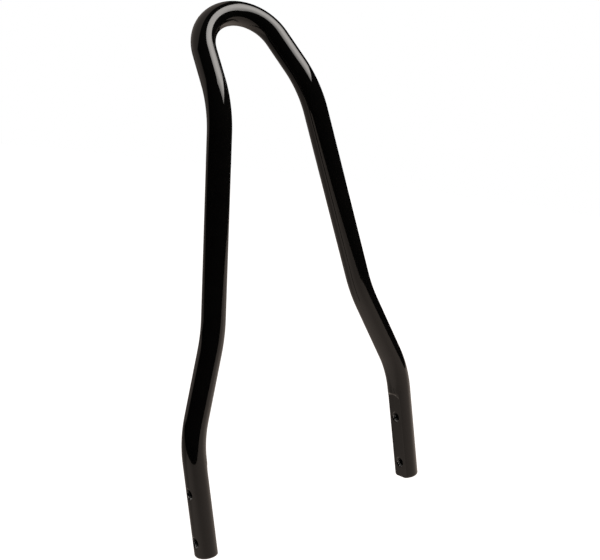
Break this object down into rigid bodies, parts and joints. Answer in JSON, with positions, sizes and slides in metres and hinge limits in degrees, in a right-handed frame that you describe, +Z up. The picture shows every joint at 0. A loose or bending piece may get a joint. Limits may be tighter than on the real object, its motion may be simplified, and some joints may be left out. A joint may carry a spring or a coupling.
{
  "type": "sissy bar",
  "caption": "Tall narrow hoop bent from solid round bar, its legs stepped out to flats with tapped holes, its crown leaning back; bolts to a motorbike's side plates.",
  "frame": {"origin": "midway between the two legs, on the axis of the lower bolt holes", "axes": "+Z up along the legs, +X across the legs from left to right, +Y to the rear, the way the hoop leans"},
  "size_m": [0.224, 0.0605, 0.4158],
  "materials": {
    "gloss_black_coat": "gloss"
  },
  "bodies": {
    "root": {"sissy_bar": "gloss_black_coat"}
  },
  "joints": []
}
